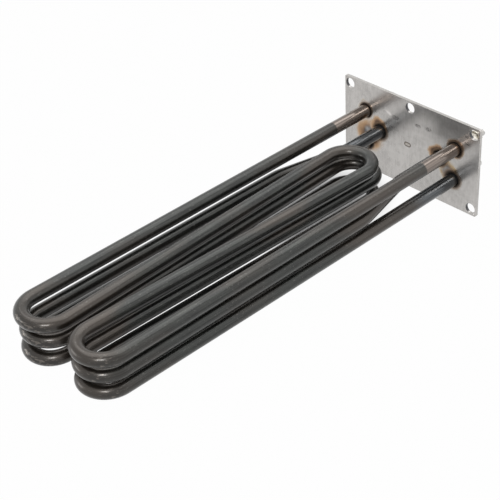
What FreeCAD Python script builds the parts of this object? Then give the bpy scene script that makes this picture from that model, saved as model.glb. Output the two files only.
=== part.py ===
"""Flanged tubular heating element: three W-bent heating tubes, stacked, through one steel flange plate.

The frame: the plate's tube side is the plane y = 0, with the origin at the middle of its bolt pattern.
The tubes reach out along -Y, the terminals stand out along +Y, and +Z is up the plate's short side.
"""

import FreeCAD, Part
import math
import os
from types import SimpleNamespace
from typing import NamedTuple

import Sketcher

START, END, CENTRE = 1, 2, 3
ROOT = (-1, START)
Vector = FreeCAD.Vector
ALONG_Y = FreeCAD.Rotation(Vector(1, 0, 0), -90)

# Driving sizes in millimetres: alias, value, what it is
SIZES = [
    ("tube_diameter", 8.5, "outer diameter of a heating tube's steel sheath"),
    ("bundle_reach", 268.4, "plate face to the centre of the furthest front bend"),
    ("bundle_lift", 0.4, "height of the middle tube above the middle of the plate"),
    ("upper_pitch", 11.0, "height from the middle tube to the upper one"),
    ("lower_pitch", 11.7, "depth from the middle tube to the lower one"),
    ("upper_bend_radius", 14.8, "centreline radius of the upper tube's hairpin bends"),
    ("upper_lead_offset", 36.8, "middle of the bundle to the upper tube's outer runs"),
    ("upper_left_short", 0.1, "how far the upper tube's left front bend stays behind the furthest"),
    ("upper_right_short", 2.8, "how far the upper tube's right front bend stays behind the furthest"),
    ("upper_setback", 56.9, "plate face to the centre of the upper tube's rear bend"),
    ("upper_shift", -1.0, "sideways place of the upper tube's rear bend"),
    ("middle_bend_radius", 13.9, "centreline radius of the middle tube's hairpin bends"),
    ("middle_lead_offset", 35.5, "middle of the bundle to the middle tube's outer runs"),
    ("middle_left_short", 1.2, "how far the middle tube's left front bend stays behind the furthest"),
    ("middle_right_short", 2.7, "how far the middle tube's right front bend stays behind the furthest"),
    ("middle_setback", 50.9, "plate face to the centre of the middle tube's rear bend"),
    ("middle_shift", -2.6, "sideways place of the middle tube's rear bend"),
    ("middle_end_offset", 24.6, "middle of the bundle to the middle tube's holes in the plate"),
    ("lower_bend_radius", 13.75, "centreline radius of the lower tube's hairpin bends"),
    ("lower_lead_offset", 35.7, "middle of the bundle to the lower tube's outer runs"),
    ("lower_left_short", 0.0, "how far the lower tube's left front bend stays behind the furthest"),
    ("lower_right_short", 1.6, "how far the lower tube's right front bend stays behind the furthest"),
    ("lower_setback", 54.1, "plate face to the centre of the lower tube's rear bend"),
    ("lower_shift", -1.0, "sideways place of the lower tube's rear bend"),
    ("joggle_front", 86.0, "plate face to the front end of the middle tube's joggles"),
    ("joggle_back", 34.4, "plate face to the back end of the middle tube's joggles"),
    ("joggle_radius", 25.0, "centreline radius of the joggle bends"),
    ("plate_width", 110.0, "flange plate, along X"),
    ("plate_height", 62.5, "flange plate, along Z"),
    ("plate_thickness", 2.0, "flange plate sheet"),
    ("plate_corner_radius", 2.5, "flange plate corners"),
    ("bolt_hole_diameter", 7.0, "clearance hole for an M6 bolt"),
    ("bolt_edge_x", 4.5, "corner bolt hole's centre to the plate's short side"),
    ("bolt_edge_z", 4.75, "bolt hole's centre to the plate's long side"),
    ("tube_clearance", 0.15, "radial gap between a tube and its hole in the plate"),
    ("tube_hole_chamfer", 0.3, "chamfer round a tube's hole on the tube side"),
    ("mark_length", 6.0, "oval punch mark in the middle of the plate, along X"),
    ("mark_width", 3.0, "oval punch mark, along Z"),
    ("mark_depth", 0.3, "oval punch mark"),
    ("tube_projection", 8.0, "length of a tube end that stands out behind the plate"),
    ("bead_leg", 1.8, "brazing fillet between a tube and the back of the plate"),
    ("seal_diameter", 6.5, "ceramic end seal, the stem inside the tube"),
    ("seal_depth", 5.0, "ceramic end seal, length of its stem"),
    ("collar_diameter", 8.4, "ceramic end seal, its collar"),
    ("collar_height", 5.0, "ceramic end seal, its collar"),
    ("collar_chamfer", 0.7, "ceramic end seal, rim of its collar"),
    ("pin_diameter", 3.0, "terminal pin inside the tube"),
    ("pin_depth", 36.0, "terminal pin, length inside the tube"),
    ("pin_clearance", 0.1, "radial gap between the pin and its seal"),
    ("stud_diameter", 4.0, "M4 stud at the end of the pin"),
    ("stud_length", 12.5, "M4 stud"),
    ("stud_chamfer", 0.5, "M4 stud tip"),
    ("nut_width", 7.0, "M4 nut across its flats"),
    ("nut_height", 3.2, "M4 nut"),
    ("nut_face_diameter", 6.6, "flat face inside the nut's chamfer"),
    ("washer_diameter", 9.0, "M4 washer"),
    ("washer_bore", 4.3, "M4 washer"),
    ("washer_thickness", 0.8, "M4 washer"),
]

NUT_CHAMFER_ANGLE = math.radians(30)


class Length:
    """A length in millimetres that keeps the expression over the sizes which gives it."""

    def __init__(self, value, text):
        self.value = value
        self.text = text

    def __add__(self, other):
        return Length(self.value + other.value, f"({self.text} + {other.text})")

    def __sub__(self, other):
        return Length(self.value - other.value, f"({self.text} - {other.text})")

    def __neg__(self):
        return Length(-self.value, f"(-{self.text})")

    def __mul__(self, factor):
        return Length(self.value * factor, f"({self.text} * {factor})")

    def __truediv__(self, divisor):
        return Length(self.value / divisor, f"({self.text} / {divisor})")


doc = FreeCAD.newDocument("heating_element")
sheet = doc.addObject("Spreadsheet::Sheet", "Sizes")
sizes = SimpleNamespace()
for row, (alias, value, note) in enumerate(SIZES, start=1):
    sheet.set(f"A{row}", note)
    sheet.set(f"B{row}", str(value))
    sheet.setAlias(f"B{row}", alias)
    setattr(sizes, alias, Length(value, f"Sizes.{alias}"))
doc.recompute()

ZERO = Length(0.0, "0")
TUBE_RADIUS = sizes.tube_diameter / 2
TUBE_HOLE_RADIUS = TUBE_RADIUS + sizes.tube_clearance
PIN_RADIUS = sizes.pin_diameter / 2
STUD_RADIUS = sizes.stud_diameter / 2

# Along Y behind the plate, from the tube ends to the nuts
TUBE_END = sizes.plate_thickness + sizes.tube_projection
SEAL_FACE = TUBE_END + sizes.collar_height
WASHER_SEAT = SEAL_FACE + sizes.nut_height
CLAMP_SEAT = WASHER_SEAT + sizes.washer_thickness



class TubePlan(NamedTuple):
    """The lengths that lay out one W-bent tube in its own layer."""

    name: str
    height: Length
    bend_radius: Length
    lead_offset: Length
    end_offset: Length
    left_reach: Length
    right_reach: Length
    setback: Length
    shift: Length


def tube_plan(name, height, end_offset):
    """Gather a layer's lengths from the sizes whose names begin with the layer's name."""

    def own(field):
        return getattr(sizes, f"{name}_{field}")

    return TubePlan(
        name=name,
        height=height,
        bend_radius=own("bend_radius"),
        lead_offset=own("lead_offset"),
        end_offset=end_offset,
        left_reach=sizes.bundle_reach - own("left_short"),
        right_reach=sizes.bundle_reach - own("right_short"),
        setback=own("setback"),
        shift=own("shift"),
    )


UPPER_TUBE = tube_plan("upper", sizes.bundle_lift + sizes.upper_pitch, sizes.upper_lead_offset)
MIDDLE_TUBE = tube_plan("middle", sizes.bundle_lift, sizes.middle_end_offset)
LOWER_TUBE = tube_plan("lower", sizes.bundle_lift - sizes.lower_pitch, sizes.lower_lead_offset)

# Where the six tube ends pass the plate: name, X and Z
STATIONS = [
    station
    for tube in (UPPER_TUBE, MIDDLE_TUBE, LOWER_TUBE)
    for station in (
        (f"{tube.name}_left", -tube.end_offset, tube.height),
        (f"{tube.name}_right", tube.end_offset, tube.height),
    )
]

nodes = []


def place(piece, x=ZERO, y=ZERO, z=ZERO):
    """Bind the place of a piece to the sizes."""
    for axis, length in (("x", x), ("y", y), ("z", z)):
        piece.setExpression(f"Placement.Base.{axis}", length.text)


def new_body(name):
    """A body that becomes a node of its own."""
    body = doc.addObject("PartDesign::Body", name)
    body.Label = name
    nodes.append(body)
    return body


def new_sketch(body, name, role, offset=None):
    """A sketch on one of the body's own planes, moved by a length along the plane's normal."""
    sketch = body.newObject("Sketcher::SketchObject", f"{body.Label}_{name}")
    plane = next(item for item in body.Origin.OriginFeatures if item.Role == role)
    sketch.AttachmentSupport = [(plane, "")]
    sketch.MapMode = "FlatFace"
    if offset is not None:
        sketch.setExpression("AttachmentOffset.Base.z", offset.text)
    return sketch


def bind(sketch, kind, *items, to):
    """Add a dimension to a sketch and tie it to the sizes."""
    index = sketch.addConstraint(Sketcher.Constraint(kind, *items, to.value))
    sketch.setExpression(f"Constraints[{index}]", to.text)


def pin_point(sketch, point, x, y):
    """Tie a sketch point to its distances from the sketch's origin, whichever side of it the point is."""
    for kind, length in (("DistanceX", x), ("DistanceY", y)):
        if length.value < 0:
            bind(sketch, kind, *point, *ROOT, to=-length)
        elif length.value > 0:
            bind(sketch, kind, *ROOT, *point, to=length)
        else:
            axis = -2 if kind == "DistanceX" else -1
            sketch.addConstraint(Sketcher.Constraint("PointOnObject", *point, axis))


def add_circle(sketch, radius, x=ZERO, y=ZERO):
    """A circle of a radius about a point, all three tied to the sizes."""
    middle = Vector(x.value, y.value, 0)
    circle = sketch.addGeometry(Part.Circle(middle, Vector(0, 0, 1), radius.value), False)
    bind(sketch, "Radius", circle, to=radius)
    pin_point(sketch, (circle, CENTRE), x, y)


def add_polygon(sketch, corners):
    """A closed outline of straight sides whose corners are tied to the sizes."""
    points = [Vector(x.value, y.value, 0) for x, y in corners]
    sides = []
    for index, point in enumerate(points):
        following = points[(index + 1) % len(points)]
        sides.append(sketch.addGeometry(Part.LineSegment(point, following), False))
    for index, side in enumerate(sides):
        following = sides[(index + 1) % len(sides)]
        sketch.addConstraint(Sketcher.Constraint("Coincident", side, END, following, START))
    for side, (x, y) in zip(sides, corners):
        pin_point(sketch, (side, START), x, y)


def revolve(body, sketch):
    """Turn a profile about the sketch's vertical axis."""
    turned = body.newObject("PartDesign::Revolution", f"{body.Label}_turned")
    turned.Profile = sketch
    turned.ReferenceAxis = (sketch, ["V_Axis"])
    turned.Angle = 360
    return turned


def pocket(body, name, sketch, depth, reverse=False):
    """Cut a sketch's outlines into the body to a depth, or right through where no depth is given."""
    cut = body.newObject("PartDesign::Pocket", f"{body.Label}_{name}")
    cut.Profile = sketch
    cut.Reversed = reverse
    if depth is None:
        cut.Type = "ThroughAll"
        cut.Midplane = True
    else:
        cut.setExpression("Length", depth.text)
    return cut


def cross_tangent(first, second, radius, side):
    """The points where a straight run leaves one bend and joins the next, which curls the other way.

    side is +1 where the run leaves the first bend on the right of its way to the second, else -1.
    """
    way = second - first
    along = way.normalize()
    across = Vector(along.y, -along.x, 0) * side
    lean = 2 * radius / (second - first).Length
    normal = along * lean + across * math.sqrt(1 - lean * lean)
    return first + normal * radius, second - normal * radius


def angle_about(centre, point, lowest):
    """The angle of a point seen from a centre, in the turn that starts at lowest."""
    angle = math.atan2(point.y - centre.y, point.x - centre.x)
    return lowest + (angle - lowest) % (2 * math.pi)


class Route:
    """A tube's centreline in a sketch: runs and bends joined end to end, each tangent to the last."""

    def __init__(self, sketch):
        self.sketch = sketch
        self.tail = None

    def _join(self, geometry, first, last):
        index = self.sketch.addGeometry(geometry, False)
        if self.tail is not None:
            self.sketch.addConstraint(Sketcher.Constraint("Tangent", *self.tail, index, first))
        self.tail = (index, last)
        return index

    def run(self, start, end):
        """A straight run."""
        return self._join(Part.LineSegment(start, end), START, END)

    def bend(self, centre, radius, start, end):
        """A bend about a centre from one angle to another, either way round."""
        circle = Part.Circle(centre, Vector(0, 0, 1), radius.value)
        if end > start:
            index = self._join(Part.ArcOfCircle(circle, start, end), START, END)
        else:
            index = self._join(Part.ArcOfCircle(circle, end, start), END, START)
        bind(self.sketch, "Radius", index, to=radius)
        return index


def add_joggle(route, side, outward):
    """The S-bend that brings one of the middle tube's leads in towards the middle of the plate.

    side is -1 for the left lead and +1 for the right one. outward is true where the route leaves the
    plate and false where it comes back to it. Gives the joggle's bend beside the plate and its bend
    beside the hairpin.
    """
    radius = sizes.joggle_radius
    inner = Vector((sizes.middle_end_offset + radius).value, -sizes.joggle_back.value, 0)
    outer = Vector((sizes.middle_lead_offset - radius).value, -sizes.joggle_front.value, 0)
    leave, arrive = cross_tangent(inner, outer, radius.value, 1)
    turn = angle_about(outer, arrive, 0)
    for point in (inner, outer, leave, arrive):
        point.x *= side
    near_plate = (0, -turn) if side < 0 else (math.pi, math.pi + turn)
    near_hairpin = (math.pi - turn, math.pi) if side < 0 else (turn, 0)
    if outward:
        back = route.bend(inner, radius, *near_plate)
        route.run(leave, arrive)
        front = route.bend(outer, radius, *near_hairpin)
    else:
        front = route.bend(outer, radius, *reversed(near_hairpin))
        route.run(arrive, leave)
        back = route.bend(inner, radius, *reversed(near_plate))
    bind(route.sketch, "DistanceY", back, CENTRE, *ROOT, to=sizes.joggle_back)
    bind(route.sketch, "DistanceY", front, CENTRE, *ROOT, to=sizes.joggle_front)


def draw_w_route(sketch, tube, joggled):
    """The centreline of one W-bent tube, from its left end behind the plate round to its right end."""
    bend = tube.bend_radius.value
    lead = tube.lead_offset.value
    end_x = tube.end_offset.value
    tube_end = TUBE_END.value
    joggle_front, joggle_back = -sizes.joggle_front.value, -sizes.joggle_back.value
    left = Vector(bend - lead, -tube.left_reach.value, 0)
    right = Vector(lead - bend, -tube.right_reach.value, 0)
    rear = Vector(tube.shift.value, -tube.setback.value, 0)
    left_leaves, rear_arrives = cross_tangent(left, rear, bend, 1)
    right_leaves, rear_leaves = cross_tangent(right, rear, bend, -1)

    route = Route(sketch)
    hairpin_start = Vector(-lead, left.y, 0)
    if joggled:
        first = route.run(Vector(-end_x, tube_end, 0), Vector(-end_x, joggle_back, 0))
        add_joggle(route, -1, True)
        left_lead = route.run(Vector(-lead, joggle_front, 0), hairpin_start)
        sketch.addConstraint(Sketcher.Constraint("Vertical", left_lead))
        bind(sketch, "DistanceX", left_lead, END, *ROOT, to=tube.lead_offset)
    else:
        first = route.run(Vector(-lead, tube_end, 0), hairpin_start)
        left_lead = first
    left_angle = angle_about(left, left_leaves, 1.5 * math.pi)
    left_bend = route.bend(left, tube.bend_radius, math.pi, left_angle)
    route.run(left_leaves, rear_arrives)
    rear_from = angle_about(rear, rear_arrives, 0.5 * math.pi)
    rear_to = angle_about(rear, rear_leaves, -0.5 * math.pi)
    rear_bend = route.bend(rear, tube.bend_radius, rear_from, rear_to)
    route.run(rear_leaves, right_leaves)
    right_angle = angle_about(right, right_leaves, 0.5 * math.pi)
    right_bend = route.bend(right, tube.bend_radius, right_angle, 2 * math.pi)
    hairpin_end = Vector(lead, right.y, 0)
    if joggled:
        right_lead = route.run(hairpin_end, Vector(lead, joggle_front, 0))
        sketch.addConstraint(Sketcher.Constraint("Vertical", right_lead))
        bind(sketch, "DistanceX", *ROOT, right_lead, START, to=tube.lead_offset)
        add_joggle(route, 1, False)
        last = route.run(Vector(end_x, joggle_back, 0), Vector(end_x, tube_end, 0))
    else:
        last = route.run(hairpin_end, Vector(lead, tube_end, 0))

    sketch.addConstraint(Sketcher.Constraint("Vertical", first))
    sketch.addConstraint(Sketcher.Constraint("Vertical", last))
    pin_point(sketch, (first, START), -tube.end_offset, TUBE_END)
    pin_point(sketch, (last, END), tube.end_offset, TUBE_END)
    bind(sketch, "DistanceY", left_bend, CENTRE, *ROOT, to=tube.left_reach)
    bind(sketch, "DistanceY", right_bend, CENTRE, *ROOT, to=tube.right_reach)
    bind(sketch, "DistanceY", rear_bend, CENTRE, *ROOT, to=tube.setback)
    bind(sketch, "DistanceX", left_lead, END, rear_bend, CENTRE, to=tube.lead_offset + tube.shift)


def make_heating_tube(tube, joggled=False):
    """One W-bent tube: its sheath, the packed magnesia and the coil are swaged into one solid.

    Each end is bored for the terminal pin and the stem of its seal.
    """
    body = new_body(f"{tube.name}_heating_tube")
    centreline = new_sketch(body, "centreline", "XY_Plane")
    draw_w_route(centreline, tube, joggled)
    section = new_sketch(body, "section", "XZ_Plane", -TUBE_END)
    add_circle(section, TUBE_RADIUS, -tube.end_offset)
    doc.recompute()
    rod = body.newObject("PartDesign::AdditivePipe", f"{body.Label}_rod")
    rod.Profile = section
    edges = [f"Edge{index + 1}" for index in range(len(centreline.Shape.Edges))]
    rod.Spine = (centreline, edges)
    doc.recompute()
    for name, radius, depth in (
        ("seal_bore", sizes.seal_diameter / 2, sizes.seal_depth),
        ("pin_bore", PIN_RADIUS, sizes.pin_depth),
    ):
        mouths = new_sketch(body, f"{name}_mouths", "XZ_Plane", -TUBE_END)
        add_circle(mouths, radius, -tube.end_offset)
        add_circle(mouths, radius, tube.end_offset)
        pocket(body, name, mouths, depth, reverse=True)
    place(body, z=tube.height)
    return body


def make_flange_plate():
    """The plate: a rounded rectangle with six bolt holes, six tube holes and a small punch mark."""
    body = new_body("flange_plate")
    half_width = sizes.plate_width / 2
    half_height = sizes.plate_height / 2
    outline = new_sketch(body, "outline", "XZ_Plane")
    add_polygon(outline, [
        (-half_width, -half_height),
        (half_width, -half_height),
        (half_width, half_height),
        (-half_width, half_height),
    ])
    blank = body.newObject("PartDesign::Pad", "flange_plate_blank")
    blank.Profile = outline
    blank.Reversed = True
    blank.setExpression("Length", sizes.plate_thickness.text)
    doc.recompute()

    corners = body.newObject("PartDesign::Fillet", "flange_plate_corners")
    upright = [
        f"Edge{index}"
        for index, edge in enumerate(blank.Shape.Edges, start=1)
        if abs(edge.tangentAt(edge.FirstParameter).y) > 0.9
    ]
    corners.Base = (blank, upright)
    corners.setExpression("Radius", sizes.plate_corner_radius.text)
    doc.recompute()

    bolt_circles = new_sketch(body, "bolt_circles", "XZ_Plane")
    corner_x = half_width - sizes.bolt_edge_x
    row_z = half_height - sizes.bolt_edge_z
    for z in (-row_z, row_z):
        for x in (-corner_x, ZERO, corner_x):
            add_circle(bolt_circles, sizes.bolt_hole_diameter / 2, x, z)
    pocket(body, "bolt_holes", bolt_circles, None)

    tube_circles = new_sketch(body, "tube_circles", "XZ_Plane")
    for _, x, z in STATIONS:
        add_circle(tube_circles, TUBE_HOLE_RADIUS, x, z)
    tube_holes = pocket(body, "tube_holes", tube_circles, None)
    doc.recompute()

    rims = body.newObject("PartDesign::Chamfer", "flange_plate_tube_hole_rims")
    front_rims = [
        f"Edge{index}"
        for index, edge in enumerate(tube_holes.Shape.Edges, start=1)
        if isinstance(edge.Curve, Part.Circle)
        and abs(edge.Curve.Radius - TUBE_HOLE_RADIUS.value) < 1e-6
        and abs(edge.Curve.Center.y) < 1e-6
        and len(edge.Vertexes) == 1
    ]
    rims.Base = (tube_holes, front_rims)
    rims.setExpression("Size", sizes.tube_hole_chamfer.text)
    doc.recompute()

    mark = new_sketch(body, "mark_outline", "XZ_Plane")
    half_run = (sizes.mark_length - sizes.mark_width) / 2
    mark_radius = sizes.mark_width / 2
    run_x, rise = half_run.value, mark_radius.value
    rounds = []
    for side, start in ((1, -0.5 * math.pi), (-1, 0.5 * math.pi)):
        circle = Part.Circle(Vector(side * run_x, 0, 0), Vector(0, 0, 1), rise)
        rounds.append(mark.addGeometry(Part.ArcOfCircle(circle, start, start + math.pi), False))
    top = mark.addGeometry(Part.LineSegment(Vector(run_x, rise, 0), Vector(-run_x, rise, 0)), False)
    low = mark.addGeometry(Part.LineSegment(Vector(-run_x, -rise, 0), Vector(run_x, -rise, 0)), False)
    right_round, left_round = rounds
    mark.addConstraint(Sketcher.Constraint("Tangent", right_round, END, top, START))
    mark.addConstraint(Sketcher.Constraint("Tangent", top, END, left_round, START))
    mark.addConstraint(Sketcher.Constraint("Tangent", left_round, END, low, START))
    mark.addConstraint(Sketcher.Constraint("Tangent", low, END, right_round, START))
    bind(mark, "Radius", right_round, to=mark_radius)
    pin_point(mark, (right_round, CENTRE), half_run, ZERO)
    pin_point(mark, (left_round, CENTRE), -half_run, ZERO)
    pocket(body, "mark", mark, sizes.mark_depth, reverse=True)
    return body


def make_braze_bead(station, x, z):
    """The brazing fillet that seals a tube to the back of the plate."""
    body = new_body(f"{station}_braze_bead")
    profile = new_sketch(body, "profile", "XY_Plane")
    add_polygon(profile, [
        (TUBE_RADIUS, ZERO),
        (TUBE_RADIUS + sizes.bead_leg, ZERO),
        (TUBE_RADIUS, sizes.bead_leg),
    ])
    revolve(body, profile)
    place(body, x, sizes.plate_thickness, z)
    return body


def make_end_seal(station, x, z):
    """The ceramic bush that closes a tube end: a stem in the tube and a collar on its end."""
    body = new_body(f"{station}_end_seal")
    profile = new_sketch(body, "profile", "XY_Plane")
    bore = PIN_RADIUS + sizes.pin_clearance
    stem = sizes.seal_diameter / 2
    rim = sizes.collar_diameter / 2
    add_polygon(profile, [
        (bore, -sizes.seal_depth),
        (stem, -sizes.seal_depth),
        (stem, ZERO),
        (rim, ZERO),
        (rim, sizes.collar_height - sizes.collar_chamfer),
        (rim - sizes.collar_chamfer, sizes.collar_height),
        (bore, sizes.collar_height),
    ])
    revolve(body, profile)
    place(body, x, TUBE_END, z)
    return body


def make_terminal_stud(station, x, z):
    """The terminal: a pin inside the tube, welded to an M4 stud whose shoulder sits on the seal."""
    body = new_body(f"{station}_terminal_stud")
    profile = new_sketch(body, "profile", "XY_Plane")
    tip = sizes.collar_height + sizes.stud_length
    add_polygon(profile, [
        (ZERO, -sizes.pin_depth),
        (PIN_RADIUS, -sizes.pin_depth),
        (PIN_RADIUS, sizes.collar_height),
        (STUD_RADIUS, sizes.collar_height),
        (STUD_RADIUS, tip - sizes.stud_chamfer),
        (STUD_RADIUS - sizes.stud_chamfer, tip),
        (ZERO, tip),
    ])
    revolve(body, profile)
    place(body, x, TUBE_END, z)
    return body


def add_cylinder(name, radius, length, x, y, z):
    """A cylinder along Y that starts at y."""
    cylinder = doc.addObject("Part::Cylinder", name)
    cylinder.setExpression("Radius", radius.text)
    cylinder.setExpression("Height", length.text)
    cylinder.Placement = FreeCAD.Placement(Vector(0, 0, 0), ALONG_Y)
    place(cylinder, x, y, z)
    return cylinder


def add_cut(name, solid, tool):
    """One solid less another."""
    cut = doc.addObject("Part::Cut", name)
    cut.Base = solid
    cut.Tool = tool
    return cut


def add_nut(name, x, y, z):
    """A hexagon nut along Y, seated at y, with the chamfer on its far face."""
    face_radius = sizes.nut_face_diameter / 2
    hexagon = doc.addObject("Part::Prism", f"{name}_hexagon")
    hexagon.Polygon = 6
    hexagon.setExpression("Circumradius", (sizes.nut_width / math.sqrt(3)).text)
    hexagon.setExpression("Height", sizes.nut_height.text)
    hexagon.Placement = FreeCAD.Placement(Vector(0, 0, 0), ALONG_Y)
    place(hexagon, x, y, z)
    crown = doc.addObject("Part::Cone", f"{name}_crown")
    crown.setExpression("Radius1", (face_radius + sizes.nut_height / math.tan(NUT_CHAMFER_ANGLE)).text)
    crown.setExpression("Radius2", face_radius.text)
    crown.setExpression("Height", sizes.nut_height.text)
    crown.Placement = FreeCAD.Placement(Vector(0, 0, 0), ALONG_Y)
    place(crown, x, y, z)
    blank = doc.addObject("Part::MultiCommon", f"{name}_blank")
    blank.Shapes = [hexagon, crown]
    bore = add_cylinder(f"{name}_bore", STUD_RADIUS, sizes.nut_height, x, y, z)
    return add_cut(name, blank, bore)


def add_washer(name, x, y, z):
    """A flat washer along Y, seated at y."""
    disc = add_cylinder(f"{name}_disc", sizes.washer_diameter / 2, sizes.washer_thickness, x, y, z)
    bore = add_cylinder(f"{name}_bore", sizes.washer_bore / 2, sizes.washer_thickness, x, y, z)
    return add_cut(name, disc, bore)


def make_fastener_set(name, add_one, seat):
    """Six identical fasteners, one on each stud, as one node."""
    group = doc.addObject("Part::Compound", name)
    group.Label = name
    group.Links = [add_one(f"{name}_{station}", x, seat, z) for station, x, z in STATIONS]
    nodes.append(group)
    return group


def check_and_export():
    """Stop on any failed object or shape, then write each node's solid."""
    failed = [item.Name for item in doc.Objects if "Invalid" in item.State or "Error" in item.State]
    if failed:
        raise RuntimeError(f"objects that failed to build: {failed}")
    for node in nodes:
        if node.Shape.isNull() or not node.Shape.isValid() or node.Shape.Volume <= 0:
            raise RuntimeError(f"{node.Label} has no valid shape")
    os.makedirs("parts", exist_ok=True)
    for node in nodes:
        node.Shape.exportStep(os.path.join("parts", f"{node.Label}.step"))
        print(f"{node.Label}: {len(node.Shape.Solids)} solid(s), {node.Shape.Volume:.1f} cubic mm")


make_flange_plate()
make_heating_tube(UPPER_TUBE)
make_heating_tube(MIDDLE_TUBE, joggled=True)
make_heating_tube(LOWER_TUBE)
for station, x, z in STATIONS:
    make_braze_bead(station, x, z)
    make_end_seal(station, x, z)
    make_terminal_stud(station, x, z)
make_fastener_set("lock_nuts", add_nut, SEAL_FACE)
make_fastener_set("washers", add_washer, WASHER_SEAT)
make_fastener_set("clamp_nuts", add_nut, CLAMP_SEAT)
doc.recompute()
check_and_export()
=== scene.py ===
"""Dresses the flanged tubular heating element: W-bent tubes, flange plate, seals and terminals.

Everything is in metres in the frame of the solids: the plate's tube side is y = 0, the tubes reach
along -Y, the terminals stand out along +Y and +Z is up the plate's short side.
"""

from __future__ import annotations

import functools
import logging
import math
from dataclasses import dataclass
from enum import Enum

import bmesh
import bpy
from mathutils import Matrix, Vector


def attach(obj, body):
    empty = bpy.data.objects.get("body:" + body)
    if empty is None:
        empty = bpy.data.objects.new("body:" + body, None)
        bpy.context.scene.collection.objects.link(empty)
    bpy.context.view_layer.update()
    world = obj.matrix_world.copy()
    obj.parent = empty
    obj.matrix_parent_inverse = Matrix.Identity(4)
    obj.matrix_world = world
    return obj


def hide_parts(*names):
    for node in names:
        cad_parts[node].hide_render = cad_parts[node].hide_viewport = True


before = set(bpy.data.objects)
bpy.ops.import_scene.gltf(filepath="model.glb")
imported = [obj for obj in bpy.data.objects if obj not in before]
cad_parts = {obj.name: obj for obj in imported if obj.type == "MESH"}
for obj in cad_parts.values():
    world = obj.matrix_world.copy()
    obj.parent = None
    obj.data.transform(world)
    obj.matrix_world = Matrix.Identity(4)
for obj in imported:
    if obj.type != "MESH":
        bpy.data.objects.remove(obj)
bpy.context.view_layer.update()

logging.basicConfig(level=logging.INFO, format="%(message)s")
LOG = logging.getLogger("heating_element")

MM = 0.001
BODY = "root"
ORIGIN = (0.0, 0.0, 0.0)
WELD = 0.001 * MM

Point = tuple[float, float, float]
Color = tuple[float, float, float]
Stop = tuple[float, Color]
Pair = tuple[float, float]
Node = bpy.types.Node
Socket = bpy.types.NodeSocket
Mesh = bmesh.types.BMesh
Vert = bmesh.types.BMVert
Edge = bmesh.types.BMEdge


class Slot(Enum):
    """The record's names for the finishes of the pieces that are made here."""

    FLANGE = "flange_steel"
    TUBE = "tube_sheath"
    BRAZE = "braze_metal"
    CERAMIC = "seal_ceramic"
    TERMINAL = "terminal_steel"


class Layer(Enum):
    """The three W-bent tubes, from the top of the stack down."""

    UPPER = "upper"
    MIDDLE = "middle"
    LOWER = "lower"


@dataclass(frozen=True)
class Station:
    """Where one tube end passes the plate: its name in the nodes, and its place across and up."""

    name: str
    x: float
    z: float


@dataclass(frozen=True)
class TubePlan:
    """The lengths that lay out one W-bent tube in its own layer, in metres.

    Attributes:
        height: Its layer above the middle of the plate.
        bend_radius: Its hairpin bends, at the centreline.
        lead_offset: Middle of the bundle to its outer runs.
        end_offset: Middle of the bundle to its ends at the plate.
        left_reach: Plate face to the centre of its left front bend.
        right_reach: Plate face to the centre of its right front bend.
        setback: Plate face to the centre of its rear bend.
        shift: Sideways place of its rear bend.
        right_lift: How much its right runs rise towards the front.
        left_lift: How much its left runs rise towards the front.
        left_droop: How much its left front bend hangs below its runs.
    """

    height: float
    bend_radius: float
    lead_offset: float
    end_offset: float
    left_reach: float
    right_reach: float
    setback: float
    shift: float
    right_lift: float = 0.0
    left_lift: float = 0.0
    left_droop: float = 0.0


@dataclass(frozen=True)
class Bundle:
    """The sizes that the tubes, the plate and the terminals share, in metres."""

    tube_radius: float = 4.25 * MM
    plate_thickness: float = 2.0 * MM
    bolt_radius: float = 3.5 * MM
    bolt_step: float = 50.5 * MM
    bolt_row: float = 26.5 * MM
    tube_end: float = 10.0 * MM
    seal_radius: float = 3.25 * MM
    seal_depth: float = 5.0 * MM
    collar_height: float = 5.0 * MM
    pin_radius: float = 1.5 * MM
    pin_depth: float = 36.0 * MM
    upper: TubePlan = TubePlan(
        height=11.4 * MM, bend_radius=14.8 * MM, lead_offset=36.8 * MM, end_offset=36.8 * MM,
        left_reach=268.3 * MM, right_reach=265.6 * MM, setback=56.9 * MM, shift=-1.0 * MM,
    )
    middle: TubePlan = TubePlan(
        height=0.4 * MM, bend_radius=13.9 * MM, lead_offset=35.5 * MM, end_offset=24.6 * MM,
        left_reach=267.7 * MM, right_reach=265.7 * MM, setback=50.9 * MM, shift=-2.6 * MM,
    )
    lower: TubePlan = TubePlan(
        height=-11.3 * MM, bend_radius=13.75 * MM, lead_offset=35.7 * MM, end_offset=35.7 * MM,
        left_reach=268.4 * MM, right_reach=266.2 * MM, setback=54.1 * MM, shift=-1.0 * MM,
        right_lift=0.9 * MM, left_lift=0.35 * MM, left_droop=0.7 * MM,
    )

    def plan(self, layer: Layer) -> TubePlan:
        """Give the lengths of a layer's tube."""
        return getattr(self, layer.value)

    def stations(self) -> list[Station]:
        """Work out the six places where tube ends pass the plate.

        Returns:
            The left and the right end of each layer.
        """
        return [
            Station(f"{layer.value}_{side}", sign * self.plan(layer).end_offset, self.plan(layer).height)
            for layer in Layer
            for side, sign in (("left", -1), ("right", 1))
        ]


BUNDLE = Bundle()


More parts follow.
